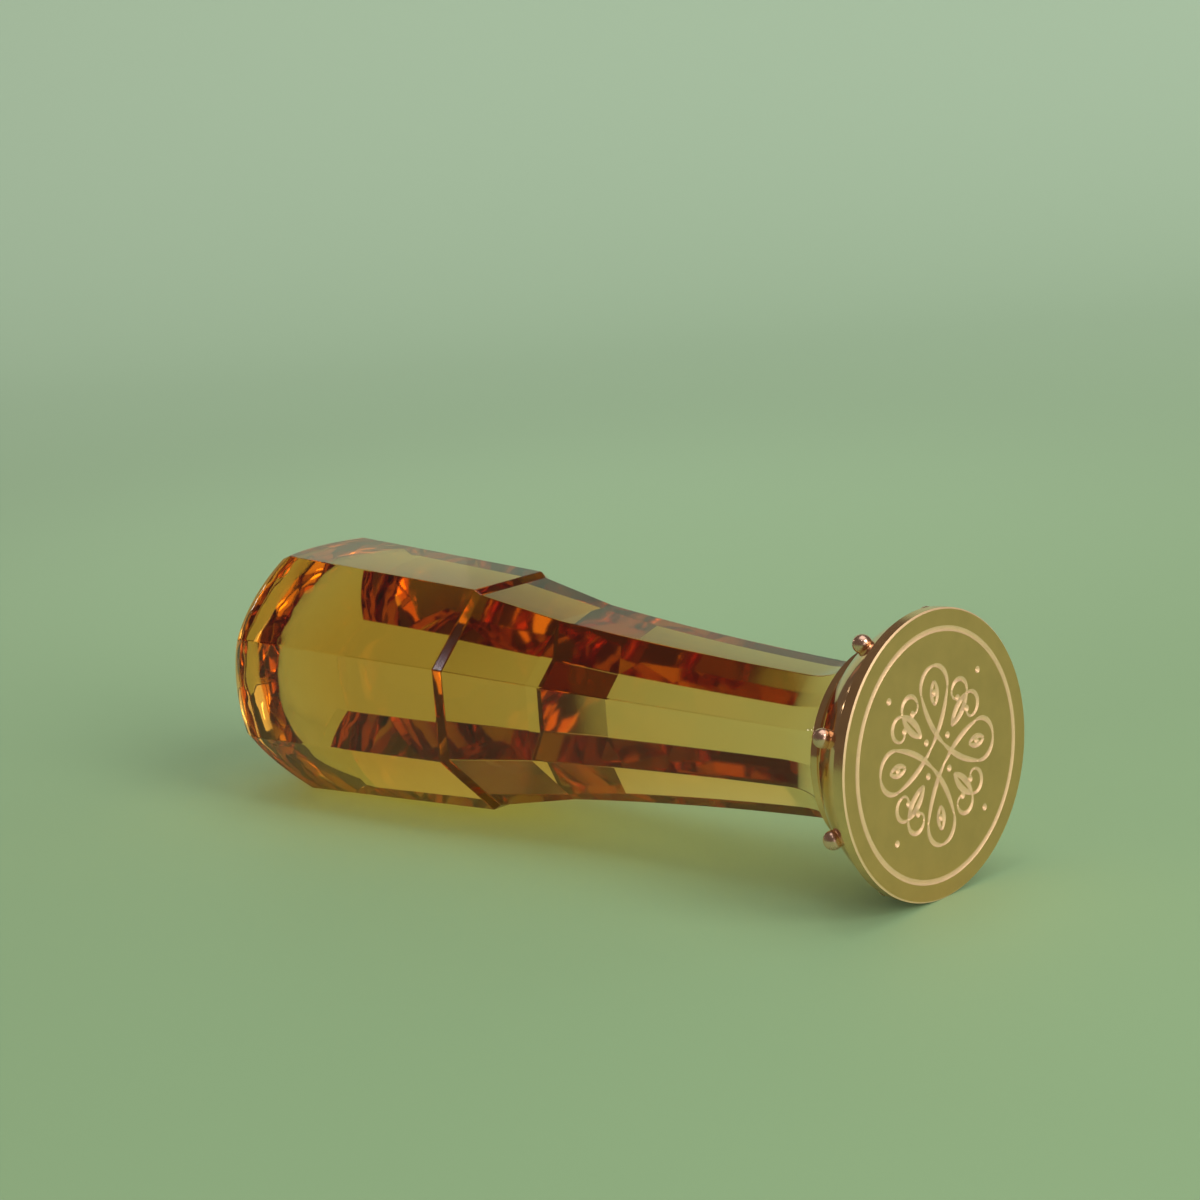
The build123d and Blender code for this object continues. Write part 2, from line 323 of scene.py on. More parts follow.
def arc_points(start, bulge, end, steps):
    """Points on the arc from start to end that stands out from the chord by bulge, on its left."""
    start = Vector(start)
    end = Vector(end)
    chord = end - start
    left = Vector((-chord.y, chord.x)).normalized()
    radius = (chord.length ** 2 / 4 + bulge ** 2) / (2 * bulge)
    centre = (start + end) / 2 - left * (radius - bulge)
    half = math.asin(chord.length / 2 / abs(radius))
    along = chord.normalized()
    points = []
    for step in range(steps + 1):
        turn = half * (2 * step / steps - 1)
        point = centre + along * abs(radius) * math.sin(turn) + left * radius * math.cos(turn)
        points.append((point.x, point.y))
    return points


def octagon(half, turn):
    """Radius of an octagon of that half width across flats, in one direction."""
    from_flat = (turn + HALF_FACET) % FACET - HALF_FACET
    return half / math.cos(from_flat)


def extrude_ring(piece, place):
    """Extrude the open ring and put its points where place says for their direction."""
    bpy.ops.mesh.extrude_region_move()
    mesh = bmesh.from_edit_mesh(piece.data)
    for vertex in mesh.verts:
        if vertex.select:
            vertex.co = place(math.atan2(vertex.co.y, vertex.co.x))
    bmesh.update_edit_mesh(piece.data)


def flat_ring(half, height):
    """Level octagon ring."""
    return lambda turn: Vector((
        octagon(half, turn) * math.cos(turn), octagon(half, turn) * math.sin(turn), height
    ))


def round_ring(radius, height):
    """Level circle."""
    return lambda turn: Vector((radius * math.cos(turn), radius * math.sin(turn), height))


def shoulder_height(sizes):
    """Height of the handle's shoulder, on the ferrule's flange."""
    return sizes.die_thickness + sizes.dome_height + sizes.washer_thickness + sizes.flange_thickness


def neck_outline(sizes, shoulder):
    """Half widths and heights of the neck's facets, from the shoulder to the root of the step."""
    throat = (sizes.throat_half, shoulder + sizes.throat_height)
    crease = (sizes.crease_half, shoulder + sizes.crease_height)
    neck = arc_points(throat, sizes.neck_hollow, crease, NECK_STEPS)
    start = Vector(neck[0])
    lean = (Vector(neck[1]) - start).normalized()
    to_shoulder = Vector((sizes.shoulder_half, shoulder)) - start
    across = Vector((lean.y, -lean.x))
    radius = to_shoulder.length_squared / (2 * to_shoulder.dot(across))
    sweep = 2 * math.atan2(to_shoulder.dot(across), -to_shoulder.dot(lean))
    throat_curve = []
    for step in range(1, THROAT_STEPS + 1):
        turn = sweep * step / THROAT_STEPS
        throat_curve.append(start + across * radius * (1 - math.cos(turn)) - lean * radius * math.sin(turn))
    points = [(point.x, point.y) for point in reversed(throat_curve)] + neck
    points.append((sizes.step_root_half, shoulder + sizes.step_root_height))
    return points


def end_rings(sizes, step_top):
    """Places of the rings from the edge of the domed end to its pole."""
    slope = (sizes.grip_half - sizes.step_half) / sizes.grip_length
    ridge = sizes.grip_half / math.cos(HALF_FACET)
    radius = (ridge ** 2 + sizes.end_rise ** 2) / (2 * sizes.end_rise)
    centre = step_top + sizes.grip_length + sizes.end_rise - radius
    flat = sizes.step_half - slope * step_top

    def rim_height(turn):
        grow = octagon(1.0, turn)
        a = 1 + (grow * slope) ** 2
        b = grow ** 2 * slope * flat - centre
        c = (grow * flat) ** 2 + centre ** 2 - radius ** 2
        return (-b + math.sqrt(b ** 2 - a * c)) / a

    def facet_edge(turn):
        height = rim_height(turn) - sizes.end_break
        half = flat + slope * height
        return flat_ring(half, height)(turn)

    def dome_ring(share):
        def place(turn):
            polar = math.acos((rim_height(turn) - centre) / radius) - sizes.end_break / radius
            polar = polar * share
            return Vector((
                radius * math.sin(polar) * math.cos(turn),
                radius * math.sin(polar) * math.sin(turn),
                centre + radius * math.cos(polar),
            ))
        return place

    return [facet_edge] + [dome_ring(1 - step / END_STEPS) for step in range(END_STEPS)]


class SEAL_OT_glass_handle(bpy.types.Operator):
    """Model the glass handle: octagon rings drawn out from the tenon to the domed end"""

    bl_idname = "seal.glass_handle"
    bl_label = "Glass handle"

    def execute(self, context):
        sizes = context.scene.seal_sizes
        shoulder = shoulder_height(sizes)
        step_top = shoulder + sizes.step_root_height + sizes.step_bevel
        piece = begin(
            bpy.ops.mesh.primitive_circle_add, "glass_handle", vertices=FACETS,
            radius=sizes.tenon_radius, fill_type="NOTHING", rotation=(0, 0, HALF_FACET),
        )
        bpy.ops.object.mode_set(mode="OBJECT")
        bpy.ops.object.transform_apply(location=True, rotation=True, scale=True)
        bpy.ops.object.mode_set(mode="EDIT")
        bpy.ops.mesh.select_all(action="SELECT")
        bpy.ops.mesh.subdivide(number_cuts=FACET_CUTS)
        mesh = bmesh.from_edit_mesh(piece.data)
        low_end = round_ring(sizes.tenon_radius, sizes.tenon_end + sizes.glass_gap)
        for vertex in mesh.verts:
            vertex.co = low_end(math.atan2(vertex.co.y, vertex.co.x))
        bmesh.update_edit_mesh(piece.data)
        bpy.ops.mesh.edge_face_add()
        base = shoulder + sizes.glass_gap
        extrude_ring(piece, round_ring(sizes.tenon_radius, base))
        bpy.ops.mesh.delete(type="ONLY_FACE")
        pick(piece, "verts", lambda vertex: abs(vertex.co.z - base) < MERGE)
        for half, height in neck_outline(sizes, shoulder):
            extrude_ring(piece, flat_ring(half, max(height, base)))
        extrude_ring(piece, flat_ring(sizes.step_half, step_top))
        for place in end_rings(sizes, step_top):
            extrude_ring(piece, place)
        bpy.ops.mesh.merge(type="CENTER")
        clean_shell()
        bpy.ops.mesh.select_all(action="DESELECT")
        bpy.ops.mesh.edges_select_sharp(sharpness=math.radians(GLASS_RIDGE))
        bpy.ops.mesh.bevel(offset=sizes.ridge_break, segments=2, affect="EDGES")
        clean_shell()
        finish_piece(piece, "handle", "crystal_handle", amber_glass(context), GLASS_SMOOTH)
        return {"FINISHED"}


class SEAL_OT_ferrule(bpy.types.Operator):
    """Turn the brass ferrule and the friction washer, and finish the cement in it"""

    bl_idname = "seal.ferrule"
    bl_label = "Ferrule and washer"

    def execute(self, context):
        sizes = context.scene.seal_sizes
        washer_low = sizes.die_thickness + sizes.dome_height
        flange_low = washer_low + sizes.washer_thickness
        flange_top = flange_low + sizes.flange_thickness
        edge = sizes.flange_edge
        cup = sizes.thread_radius - sizes.cup_wall
        outline = [(0.0, sizes.cup_low), (sizes.thread_radius - edge, sizes.cup_low)]
        outline.append((sizes.thread_radius, sizes.cup_low + edge))
        outline += self.thread(sizes, flange_low)
        outline += [(sizes.thread_radius, flange_low), (sizes.flange_radius - edge, flange_low)]
        outline += [(sizes.flange_radius, flange_low + edge), (sizes.flange_radius, flange_top - edge)]
        outline += [(sizes.flange_radius - edge, flange_top), (cup, flange_top)]
        outline += [(cup, sizes.cup_low + sizes.cup_floor), (0.0, sizes.cup_low + sizes.cup_floor)]
        ferrule = turn_outline("ferrule_cup", outline, FERRULE_TURN_STEPS)
        brass = polished_brass("ferrule_brass", context.scene.seal_finish.brass, low=0.05, high=0.12)
        finish_piece(ferrule, "handle", "ferrule", brass)
        inner = sizes.washer_inner
        outer = sizes.washer_outer
        outline = [(inner, washer_low), (outer, washer_low), (outer, flange_low), (inner, flange_low)]
        washer = turn_outline("fibre_washer", outline, WASHER_TURN_STEPS)
        finish_piece(washer, "washer", "friction_washer", washer_fibre(context))
        cement = frame["nodes"]["tenon_cement"]
        cement.material_slots[0].material = tenon_cement(context)
        return {"FINISHED"}

    def thread(self, sizes, flange_low):
        """Outline points of the thread grooves."""
        first = sizes.cup_low + sizes.thread_runout
        turns = int((flange_low - sizes.thread_runout - first) / sizes.thread_pitch)
        half = GROOVE_HALF * sizes.thread_pitch
        points = []
        for turn in range(turns):
            middle = first + sizes.thread_pitch * (turn + 0.5)
            points.append((sizes.thread_radius, middle - half))
            points.append((sizes.thread_radius - sizes.thread_depth, middle))
            points.append((sizes.thread_radius, middle + half))
        return points


def dome_curve(sizes, steps):
    """Outside of the dome from the die to its upper edge."""
    start = (sizes.die_diameter / 2 - sizes.dome_base_inset, sizes.die_thickness)
    end = (sizes.dome_top_radius, sizes.die_thickness + sizes.dome_height)
    return arc_points(start, -sizes.dome_bulge, end, steps)


class SEAL_OT_dome(bpy.types.Operator):
    """Turn the polished dome of the head"""

    bl_idname = "seal.dome"
    bl_label = "Dome"

    def execute(self, context):
        sizes = context.scene.seal_sizes
        bore = sizes.thread_radius + sizes.thread_fit
        top = sizes.die_thickness + sizes.dome_height
        ledge = sizes.die_thickness + sizes.boss_height
        outline = [(sizes.boss_radius, sizes.die_thickness)]
        outline += dome_curve(sizes, DOME_STEPS)
        outline += [(bore, top), (bore, ledge), (sizes.boss_radius, ledge)]
        piece = turn_outline("brass_dome", outline, DOME_TURN_STEPS)
        brass = polished_brass("dome_brass", context.scene.seal_finish.brass, low=0.05, high=0.12)
        finish_piece(piece, "head", "head_dome", brass)
        return {"FINISHED"}


class SEAL_OT_beads(bpy.types.Operator):
    """Model one bead on its pin and set a copy near each ridge of the handle"""

    bl_idname = "seal.beads"
    bl_label = "Beads"

    def execute(self, context):
        sizes = context.scene.seal_sizes
        curve = dome_curve(sizes, SEAT_STEPS)
        height = sizes.die_thickness + sizes.bead_rise
        seat = min(range(1, SEAT_STEPS), key=lambda index: abs(curve[index][1] - height))
        along = Vector(curve[seat + 1]) - Vector(curve[seat - 1])
        out = Vector((along.y, -along.x)).normalized()
        centre = Vector(curve[seat]) + out * sizes.bead_stand
        # The beads' rosy tint is a painted reflection of the warm glass round them.
        material = polished_brass("bead_brass", context.scene.seal_finish.bead, low=0.22, high=0.3)
        for index in range(FACETS):
            turn = FACET * (index + 0.5) + sizes.bead_turn
            piece = self.bead(sizes, "bead_%d" % (index + 1))
            lean = Matrix.Rotation(math.atan2(out.x, out.y), 4, "Y")
            place = Matrix.Translation((centre.x, 0, centre.y)) @ lean
            bpy.ops.object.mode_set(mode="OBJECT")
            piece.matrix_world = Matrix.Rotation(turn, 4, "Z") @ place
            finish_piece(piece, "head", "bead_pin_%d" % (index + 1), material, BEAD_SMOOTH)
        return {"FINISHED"}

    def bead(self, sizes, name):
        """Ball with a pin drawn out of its lower pole."""
        radius = sizes.bead_diameter / 2
        piece = begin(
            bpy.ops.mesh.primitive_uv_sphere_add, name,
            segments=BEAD_SEGMENTS, ring_count=BEAD_RINGS, radius=radius,
        )
        bpy.ops.mesh.select_mode(type="FACE")
        pick(piece, "faces", lambda face: self.under_pin(face, sizes.bead_pin_diameter / 2))
        bpy.ops.mesh.extrude_region_move(TRANSFORM_OT_translate={"value": (0, 0, -sizes.bead_pin_length)})
        bpy.ops.transform.resize(value=(1, 1, 0), center_override=(0, 0, -radius - sizes.bead_pin_length))
        bpy.ops.mesh.select_mode(type="VERT")
        return piece

    def under_pin(self, face, radius):
        """Whether a face of the ball lies within the pin's radius at the lower pole."""
        middle = face.calc_center_median()
        return middle.z < 0 and math.hypot(middle.x, middle.y) < radius


class SEAL_OT_die(bpy.types.Operator):
    """Finish the engraved die: satin face, bright cuts and rim, polished side"""

    bl_idname = "seal.die"
    bl_label = "Engraved die"

    def execute(self, context):
        source = frame["nodes"]["die_plate"]
        piece = bpy.data.objects.new("engraved_die", source.data.copy())
        context.scene.collection.objects.link(piece)
        bpy.ops.object.select_all(action="DESELECT")
        piece.select_set(True)
        context.view_layer.objects.active = piece
        piece.data.materials.clear()
        piece.data.materials.append(satin_die(context))
        piece.data.materials.append(bright_cut(context))
        side = polished_brass("rim_brass", context.scene.seal_finish.brass, low=0.18, high=0.24)
        piece.data.materials.append(side)
        bpy.ops.object.mode_set(mode="EDIT")
        bpy.ops.mesh.customdata_custom_splitnormals_clear()
        clean_shell()
        mesh = bmesh.from_edit_mesh(piece.data)
        for face in mesh.faces:
            face.smooth = True
            face.material_index = self.kind(face, context.scene.seal_sizes)
        for edge in mesh.edges:
            kinds = {face.material_index for face in edge.link_faces}
            gentle = edge.calc_face_angle(0.0) < math.radians(TURNED_SMOOTH)
            edge.smooth = kinds == {CUT} or (len(kinds) == 1 and gentle)
        bmesh.update_edit_mesh(piece.data)
        bpy.ops.object.mode_set(mode="OBJECT")
        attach(piece, "head")
        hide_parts("die_plate")
        return {"FINISHED"}

    def kind(self, face, sizes):
        """Material of a face: the satin face, the cuts with the rim's edge, or the side."""
        offset = face.calc_center_median() - FACE_CENTRE
        depth = -offset.dot(FACE_OUT)
        radius = (offset + FACE_OUT * depth).length
        lean = abs(face.normal.dot(FACE_OUT))
        if lean < SIDE_LEAN and radius > sizes.die_diameter / 2 - MM / 2:
            return SIDE
        return CUT if lean < CUT_LEAN and depth < sizes.die_thickness / 2 else SATIN


def node_of(tree, kind):
    """First node of that kind in a tree."""
    return next(node for node in tree.nodes if node.type == kind)


def new_material(name):
    """New material; returns it with its tree and its shader."""
    material = bpy.data.materials.new(name)
    material.use_nodes = True
    return material, material.node_tree, node_of(material.node_tree, "BSDF_PRINCIPLED")


def noise(tree, scale, detail, stretch=(1.0, 1.0, 1.0)):
    """Noise on Object coordinates, with its features about one over scale in size."""
    place = tree.nodes.new("ShaderNodeTexCoord")
    mapping = tree.nodes.new("ShaderNodeMapping")
    mapping.inputs["Scale"].default_value = stretch
    texture = tree.nodes.new("ShaderNodeTexNoise")
    texture.inputs["Scale"].default_value = scale
    texture.inputs["Detail"].default_value = detail
    tree.links.new(place.outputs["Object"], mapping.inputs["Vector"])
    tree.links.new(mapping.outputs["Vector"], texture.inputs["Vector"])
    return texture.outputs["Fac"]


def map_range(tree, value, start, end, low=0.0, high=1.0, shape="LINEAR"):
    """Map a value between start and end onto the range from low to high."""
    node = tree.nodes.new("ShaderNodeMapRange")
    node.interpolation_type = shape
    node.inputs["From Min"].default_value = start
    node.inputs["From Max"].default_value = end
    node.inputs["To Min"].default_value = low
    node.inputs["To Max"].default_value = high
    tree.links.new(value, node.inputs["Value"])
    return node.outputs["Result"]


def spread(tree, value, low, high):
    """Map the usual reach of a noise onto a range."""
    return map_range(tree, value, NOISE_LOW, NOISE_HIGH, low, high)


def math_node(tree, operation, *values, clamp=False):
    """Reckon with values that other nodes give."""
    node = tree.nodes.new("ShaderNodeMath")
    node.operation = operation
    node.use_clamp = clamp
    for socket, value in zip(node.inputs, values):
        tree.links.new(value, socket)
    return node.outputs["Value"]


def bump(tree, shader, height, strength, distance):
    """Bump the shader's normal by a height."""
    node = tree.nodes.new("ShaderNodeBump")
    node.inputs["Strength"].default_value = strength
    node.inputs["Distance"].default_value = distance
    tree.links.new(height, node.inputs["Height"])
    tree.links.new(node.outputs["Normal"], shader.inputs["Normal"])


def mix_colours(tree, share, first, second):
    """Blend two colours by a value; each may be the output of another node."""
    node = tree.nodes.new("ShaderNodeMix")
    node.data_type = "RGBA"
    ends = [socket for socket in node.inputs if socket.type == "RGBA"]
    for socket, tone in zip(ends, (first, second)):
        if isinstance(tone, bpy.types.NodeSocket):
            tree.links.new(tone, socket)
        else:
            socket.default_value = (*tone, 1.0)
    tree.links.new(share, node.inputs["Factor"])
    return next(socket for socket in node.outputs if socket.type == "RGBA")


def marked_tone(tree, shader, marks, tone, share):
    """Colour the shader in a tone that goes to a share of itself where the marks are strong."""
    marked = [channel * share for channel in tone]
    mixed = mix_colours(tree, spread(tree, marks, 0.0, 1.0), tone, marked)
    tree.links.new(mixed, shader.inputs["Base Color"])


def end_height(sizes):
    """Height of the end of the grip's ridges."""
    return shoulder_height(sizes) + sizes.step_root_height + sizes.step_bevel + sizes.grip_length


def amber_glass(context):
    """Clear amber glass with the faint waviness of hand polishing, dimpled on its domed end."""
    finish = context.scene.seal_finish
    material, tree, shader = new_material("amber_glass")
    shader.inputs["Base Color"].default_value = (1.0, 1.0, 1.0, 1.0)
    shader.inputs["Roughness"].default_value = finish.glass_roughness
    shader.inputs["IOR"].default_value = finish.glass_index
    shader.inputs["Transmission Weight"].default_value = 1.0
    tint = tree.nodes.new("ShaderNodeVolumeAbsorption")
    tint.inputs["Color"].default_value = (*finish.glass_absorb, 1.0)
    tint.inputs["Density"].default_value = finish.glass_density
    tree.links.new(tint.outputs["Volume"], node_of(tree, "OUTPUT_MATERIAL").inputs["Volume"])
    waves = noise(tree, finish.glass_waves, detail=0.0)
    dimples = noise(tree, finish.end_dimples, detail=0.0)
    place = tree.nodes.new("ShaderNodeTexCoord")
    axes = tree.nodes.new("ShaderNodeSeparateXYZ")
    tree.links.new(place.outputs["Object"], axes.inputs["Vector"])
    end = FACE_CENTRE.x - end_height(context.scene.seal_sizes)
    share = map_range(tree, axes.outputs["X"], end + finish.dimple_blend, end, high=finish.dimple_share)
    height = math_node(tree, "MULTIPLY_ADD", dimples, share, waves)
    bump(tree, shader, height, finish.polish_strength, finish.polish_depth)
    return material


def polished_brass(name, brass, low, high):
    """Brass with fine wiping marks and a little tarnish, its roughness between low and high."""
    material, tree, shader = new_material(name)
    shader.inputs["Metallic"].default_value = 1.0
    tarnish = noise(tree, scale=700.0, detail=4.0)
    marked_tone(tree, shader, tarnish, brass, share=0.86)
    wiping = noise(tree, scale=1500.0, detail=3.0)
    tree.links.new(spread(tree, wiping, low, high), shader.inputs["Roughness"])
    hollows = noise(tree, scale=400.0, detail=3.0)
    bump(tree, shader, hollows, strength=0.03, distance=0.05 * MM)
    return material


def satin_die(context):
    """Satin brass face, finely brushed."""
    material, tree, shader = new_material("die_brass")
    shader.inputs["Metallic"].default_value = 1.0
    tarnish = noise(tree, scale=300.0, detail=4.0)
    marked_tone(tree, shader, tarnish, context.scene.seal_finish.die_brass, share=0.9)
    brushed = noise(tree, scale=24000.0, detail=2.0, stretch=(1.0, 1.0, 0.03))
    tree.links.new(spread(tree, brushed, low=0.28, high=0.31), shader.inputs["Roughness"])
    bump(tree, shader, brushed, strength=0.01, distance=0.01 * MM)
    return material


def bright_cut(context):
    """Freshly cut brass in the engraving, its walls burnished soft."""
    material, tree, shader = new_material("bright_cut")
    shader.inputs["Metallic"].default_value = 0.6
    tarnish = noise(tree, scale=900.0, detail=3.0)
    marked_tone(tree, shader, tarnish, context.scene.seal_finish.bright_cut, share=0.92)
    cutter = noise(tree, scale=4000.0, detail=2.0)
    tree.links.new(spread(tree, cutter, low=0.32, high=0.4), shader.inputs["Roughness"])
    walls = tree.nodes.new("ShaderNodeNewGeometry")
    face = tree.nodes.new("ShaderNodeVectorTransform")
    face.vector_type = "NORMAL"
    face.convert_from = "OBJECT"
    face.convert_to = "WORLD"
    face.inputs["Vector"].default_value = FACE_OUT
    soften = tree.nodes.new("ShaderNodeVectorMath")
    soften.operation = "MULTIPLY_ADD"
    soften.inputs[1].default_value = (1.0, 1.0, 1.0)
    tree.links.new(walls.outputs["Normal"], soften.inputs[0])
    tree.links.new(face.outputs["Vector"], soften.inputs[2])
    rounded = tree.nodes.new("ShaderNodeVectorMath")
    rounded.operation = "NORMALIZE"
    tree.links.new(soften.outputs["Vector"], rounded.inputs[0])
    tree.links.new(rounded.outputs["Vector"], shader.inputs["Normal"])
    return material


def washer_fibre(context):
    """Dark pressed fibre."""
    material, tree, shader = new_material("washer")
    fibres = noise(tree, scale=5000.0, detail=4.0, stretch=(1.0, 0.3, 1.0))
    marked_tone(tree, shader, fibres, context.scene.seal_finish.washer, share=1.8)
    shader.inputs["Roughness"].default_value = 0.8
    bump(tree, shader, fibres, strength=0.3, distance=0.02 * MM)
    return material


def tenon_cement(context):
    """Pale cement with grains."""
    material, tree, shader = new_material("cement")
    grains = noise(tree, scale=3000.0, detail=5.0)
    marked_tone(tree, shader, grains, context.scene.seal_finish.cement, share=0.7)
    shader.inputs["Roughness"].default_value = 0.7
    return material


class SEAL_OT_stage(bpy.types.Operator):
    """Set up the floor, the backdrop, the light and the camera"""

    bl_idname = "seal.stage"
    bl_label = "Stage"

    def execute(self, context):
        context.scene.view_settings.view_transform = "Standard"
        context.scene.cycles.max_bounces = CLEAR_BOUNCES
        context.scene.cycles.transmission_bounces = CLEAR_BOUNCES
        context.scene.cycles.glossy_bounces = GLOSSY_BOUNCES
        self.floor(context)
        self.world(context)
        self.lamps()
        self.panels()
        self.windows()
        self.pools()
        self.camera(context)
        return {"FINISHED"}

    def floor(self, context):
        """Floor that curves up into a backdrop behind the seal."""
        stage = context.scene.seal_stage
        floor = begin(bpy.ops.mesh.primitive_plane_add, "sage_floor", size=stage.floor_depth)
        bpy.ops.mesh.select_all(action="SELECT")
        bpy.ops.transform.resize(value=(stage.floor_width / stage.floor_depth, 1.0, 1.0))
        bpy.ops.transform.translate(value=(stage.floor_shift, 0.0, 0.0))
        pick(floor, "verts", lambda vertex: vertex.co.y > 0)
        bpy.ops.mesh.extrude_region_move(TRANSFORM_OT_translate={"value": (0, 0, stage.backdrop_height)})
        bpy.ops.object.mode_set(mode="OBJECT")
        sweep = floor.modifiers.new("sweep", "BEVEL")
        sweep.width = stage.sweep
        sweep.segments = SWEEP_STEPS
        bpy.ops.object.modifier_apply(modifier="sweep")
        bpy.ops.object.shade_smooth()
        floor.rotation_euler = (0, 0, math.pi / 2 - stage.azimuth)
        bpy.ops.object.transform_apply(location=True, rotation=True, scale=True)
        floor.data.materials.append(self.paper(stage))

    def paper(self, stage):
        """Sage paper with a painted gradient of light, paler far behind the seal; through the glass the floor
        round the seal shows painted shade, painted shadow and a painted glow.
        """
        material, tree, shader = new_material("sage_paper")
        place = tree.nodes.new("ShaderNodeTexCoord")
        behind = tree.nodes.new("ShaderNodeVectorMath")
        behind.operation = "DOT_PRODUCT"
        behind.inputs[1].default_value = (-math.cos(stage.azimuth), math.sin(stage.azimuth), 0.0)
        tree.links.new(place.outputs["Object"], behind.inputs[0])
        # Painted gradient of light: the paper pales far behind the seal.
        fade = map_range(tree, behind.outputs["Value"], stage.fade_near, stage.fade_far, shape="SMOOTHSTEP")
        paper = mix_colours(tree, fade, stage.floor, stage.backdrop)
        axes = tree.nodes.new("ShaderNodeSeparateXYZ")
        tree.links.new(place.outputs["Object"], axes.inputs["Vector"])
        across = axes.outputs["Y"]
        # Through the glass the floor is painted darker round the seal: painted shade in front of it, painted
        # shadow beneath it.
        beneath = map_range(tree, across, stage.front_end, stage.beneath_front, shape="SMOOTHSTEP")
        near = mix_colours(tree, beneath, stage.painted_shade_front, stage.painted_shadow_beneath)
        # Further back the floor is painted brighter and warmer: a painted glow behind the seal.
        beyond = map_range(tree, across, stage.beneath_back, stage.beyond_start, shape="SMOOTHSTEP")
        through = mix_colours(tree, beyond, near, stage.painted_glow_beyond)
        rays = tree.nodes.new("ShaderNodeLightPath")
        tone = mix_colours(tree, rays.outputs["Is Transmission Ray"], paper, through)
        tree.links.new(tone, shader.inputs["Base Color"])
        shader.inputs["Roughness"].default_value = 0.6
        shader.inputs["Specular IOR Level"].default_value = 0.3
        return material

    def world(self, context):
        """Even light on what is matt; what shines and what is clear shows a dim room."""
        stage = context.scene.seal_stage
        world = bpy.data.worlds.new("dim_room")
        context.scene.world = world
        world.use_nodes = True
        tree = world.node_tree
        rays = tree.nodes.new("ShaderNodeLightPath")
        clear = rays.outputs["Is Transmission Ray"]
        matt = rays.outputs["Diffuse Depth"]
        mirrored = math_node(tree, "MAXIMUM", rays.outputs["Is Glossy Ray"], clear)
        unlit = math_node(tree, "SUBTRACT", mirrored, matt, clamp=True)
        below = math_node(tree, "MULTIPLY", clear, matt, clamp=True)
        fill = mix_colours(tree, below, stage.fill, [stage.through] * 3)
        seen = mix_colours(tree, clear, stage.room, stage.room_through)
        room = mix_colours(tree, unlit, fill, seen)
        shown = mix_colours(tree, rays.outputs["Is Camera Ray"], room, stage.backdrop)
        tree.links.new(shown, node_of(tree, "BACKGROUND").inputs["Color"])

    def lamp(self, name, place, aim, size, glow, tint, clear=True, glossy=True):
        """Soft rectangular lamp whose face has that glow, shown by clear and glossy pieces or not."""
        light = bpy.data.lights.new(name, "AREA")
        light.shape = "RECTANGLE"
        light.size, light.size_y = size
        light.energy = glow * math.pi * size[0] * size[1]
        light.color = tint
        lamp = bpy.data.objects.new(name, light)
        bpy.context.scene.collection.objects.link(lamp)
        lamp.location = place
        lamp.rotation_euler = (Vector(aim) - Vector(place)).to_track_quat("-Z", "Y").to_euler()
        lamp.visible_transmission = clear
        lamp.visible_glossy = glossy

    def lamps(self):
        """Large soft lamps."""
        self.lamp(
            "top", (0.12, 0.16, 1.4), aim=(0.12, 0.16, 0), size=(1.25, 1.25), glow=1.05, tint=WHITE,
            clear=False,
        )
        self.lamp(
            "key", (1.25, 0.05, 1.05), aim=ORIGIN, size=(0.7, 0.7), glow=5.5, tint=WARM_WHITE,
            clear=False,
        )
        self.lamp(
            "front", (0.95, -0.17, 0.32), aim=ORIGIN, size=(0.5, 0.4), glow=5.0, tint=WARM_WHITE,
            clear=False, glossy=False,
        )
        self.lamp("side", (0.92, 0.05, 0.24), aim=MIDDLE, size=(1.5, 0.46), glow=0.88, tint=WARM_WHITE)

    def panels(self):
        """Small windows and dim warm walls that show in the glass and the brass."""
        self.lamp("side_window", (0.82, 0.38, 0.22), aim=MIDDLE, size=(0.06, 0.2), glow=3.5, tint=DAYLIGHT)
        self.lamp(
            "side_window_low", (0.86, -0.23, 0.2), aim=MIDDLE, size=(0.06, 0.2), glow=3.5, tint=DAYLIGHT,
        )
        self.lamp("warm_wall", (-0.705, 0.48, 0.3), aim=MIDDLE, size=(0.26, 0.31), glow=0.17, tint=AMBER)
        self.lamp("ember_left", (-1.80, 0.65, 0.585), aim=MIDDLE, size=(0.12, 0.36), glow=0.14, tint=EMBER)
        self.lamp("ember_right", (-1.71, 0.85, 0.585), aim=MIDDLE, size=(0.16, 0.42), glow=0.5, tint=EMBER)
        self.lamp("far_window", (-2.43, 0.0, 0.56), aim=ORIGIN, size=(0.16, 0.1), glow=9.0, tint=EVENING)
        self.lamp(
            "far_window_high", (-2.38, 0.25, 0.73), aim=ORIGIN, size=(0.14, 0.1), glow=7.0, tint=EVENING,
        )
        self.lamp(
            "high_window", (0.414, -0.545, 1.012), aim=ORIGIN, size=(0.08, 0.08), glow=8.0, tint=COOL,
            clear=False,
        )

    def windows(self):
        """Two windows behind the seal that only the glass and matt surfaces show."""
        for name, place in (("left_window", (-0.42, 0.82, 1.18)), ("right_window", (0.73, 0.93, 0.92))):
            self.lamp(name, place, aim=ORIGIN, size=(0.42, 0.38), glow=0.95, tint=DAYLIGHT, glossy=False)

    def pool(self, name, centre, height, radius, share):
        """Soft pool of light on the floor that adds that share of the plain level in its middle."""
        light = bpy.data.lights.new(name, "SPOT")
        light.spot_size = 2 * math.atan(radius / height)
        light.spot_blend = 1.0
        light.shadow_soft_size = POOL_LAMP
        light.energy = share * 4 * math.pi ** 2 * height ** 2
        lamp = bpy.data.objects.new(name, light)
        bpy.context.scene.collection.objects.link(lamp)
        lamp.location = (*centre, height)
        lamp.visible_glossy = False
        lamp.visible_transmission = False

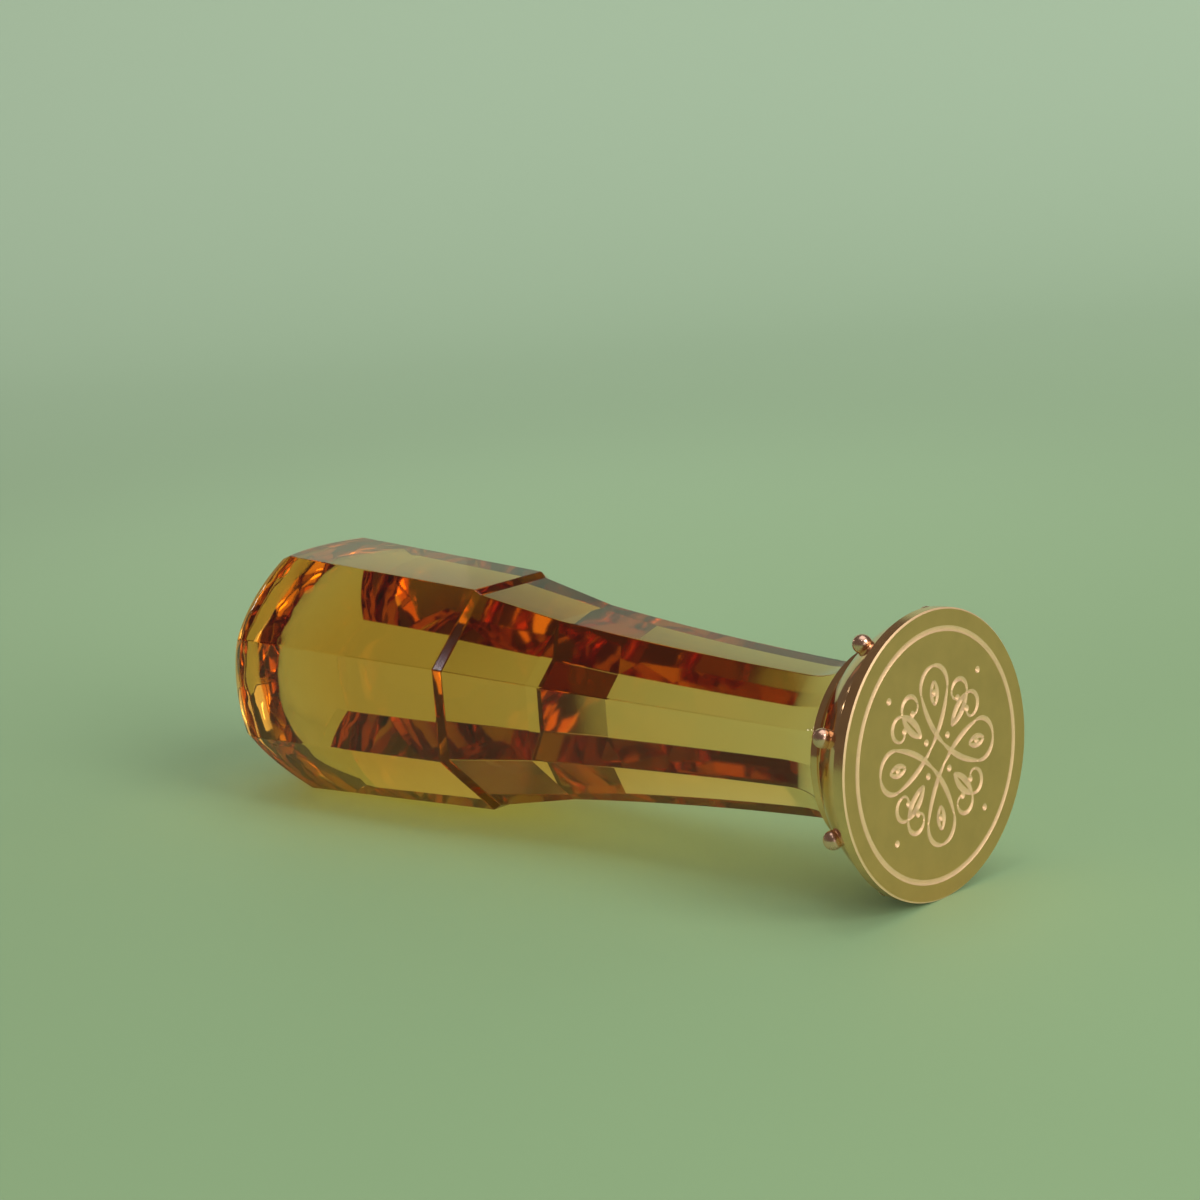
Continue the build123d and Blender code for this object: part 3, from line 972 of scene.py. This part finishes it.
    def pools(self):
        """Pools of light behind the handle and beside the die."""
        self.pool("pool", (-0.115, 0.105), height=0.8, radius=0.15, share=0.12)
        self.pool("patch", (0.08, -0.02), height=0.6, radius=0.024, share=0.24)
        self.pool("patch_far", (0.064, 0.02), height=0.6, radius=0.022, share=0.2)

    def camera(self, context):
        """Camera at the photographed angle, for a square picture."""
        stage = context.scene.seal_stage
        ahead = Vector((
            -math.cos(stage.elevation) * math.cos(stage.azimuth),
            math.cos(stage.elevation) * math.sin(stage.azimuth),
            -math.sin(stage.elevation),
        ))
        level = ahead.cross(Vector((0, 0, 1))).normalized()
        right = level * math.cos(stage.roll) + ahead.cross(level) * math.sin(stage.roll)
        down = ahead.cross(right)
        data = bpy.data.cameras.new("camera")
        data.lens = stage.lens
        data.sensor_width = SENSOR_WIDTH
        data.clip_start = NEAR_CLIP
        camera = bpy.data.objects.new("camera", data)
        context.scene.collection.objects.link(camera)
        turn = Matrix((right, -down, -ahead)).transposed().to_4x4()
        offset = right * stage.die_right + down * stage.die_down + ahead * stage.die_ahead
        turn.translation = FACE_CENTRE - offset
        camera.matrix_world = turn
        context.scene.camera = camera


class SEAL_PT_panel(bpy.types.Panel):
    """Sidebar panel of the seal"""

    bl_label = "Wax seal"
    bl_idname = "SEAL_PT_panel"
    bl_space_type = "VIEW_3D"
    bl_region_type = "UI"
    bl_category = "Wax seal"

    def draw(self, context):
        for operator in OPERATORS:
            self.layout.operator(operator.bl_idname)
        for group in (context.scene.seal_sizes, context.scene.seal_finish, context.scene.seal_stage):
            box = self.layout.box()
            for name in group.bl_rna.properties.keys():
                if name not in ("rna_type", "name"):
                    box.prop(group, name)


OPERATORS = (
    SEAL_OT_glass_handle,
    SEAL_OT_ferrule,
    SEAL_OT_dome,
    SEAL_OT_die,
    SEAL_OT_beads,
    SEAL_OT_stage,
)
CLASSES = (SealSizes, SealFinish, SealStage) + OPERATORS + (SEAL_PT_panel,)


def register():
    """Register the classes and hang the settings on the scene."""
    for item in CLASSES:
        bpy.utils.register_class(item)
    bpy.types.Scene.seal_sizes = bpy.props.PointerProperty(type=SealSizes)
    bpy.types.Scene.seal_finish = bpy.props.PointerProperty(type=SealFinish)
    bpy.types.Scene.seal_stage = bpy.props.PointerProperty(type=SealStage)


def unregister():
    """Undo register."""
    del bpy.types.Scene.seal_sizes
    del bpy.types.Scene.seal_finish
    del bpy.types.Scene.seal_stage
    for item in reversed(CLASSES):
        bpy.utils.unregister_class(item)


def main():
    """Build the seal and its stage."""
    register()
    bpy.ops.seal.glass_handle()
    bpy.ops.seal.ferrule()
    bpy.ops.seal.dome()
    bpy.ops.seal.die()
    bpy.ops.seal.beads()
    bpy.ops.seal.stage()


if __name__ == "__main__":
    main()
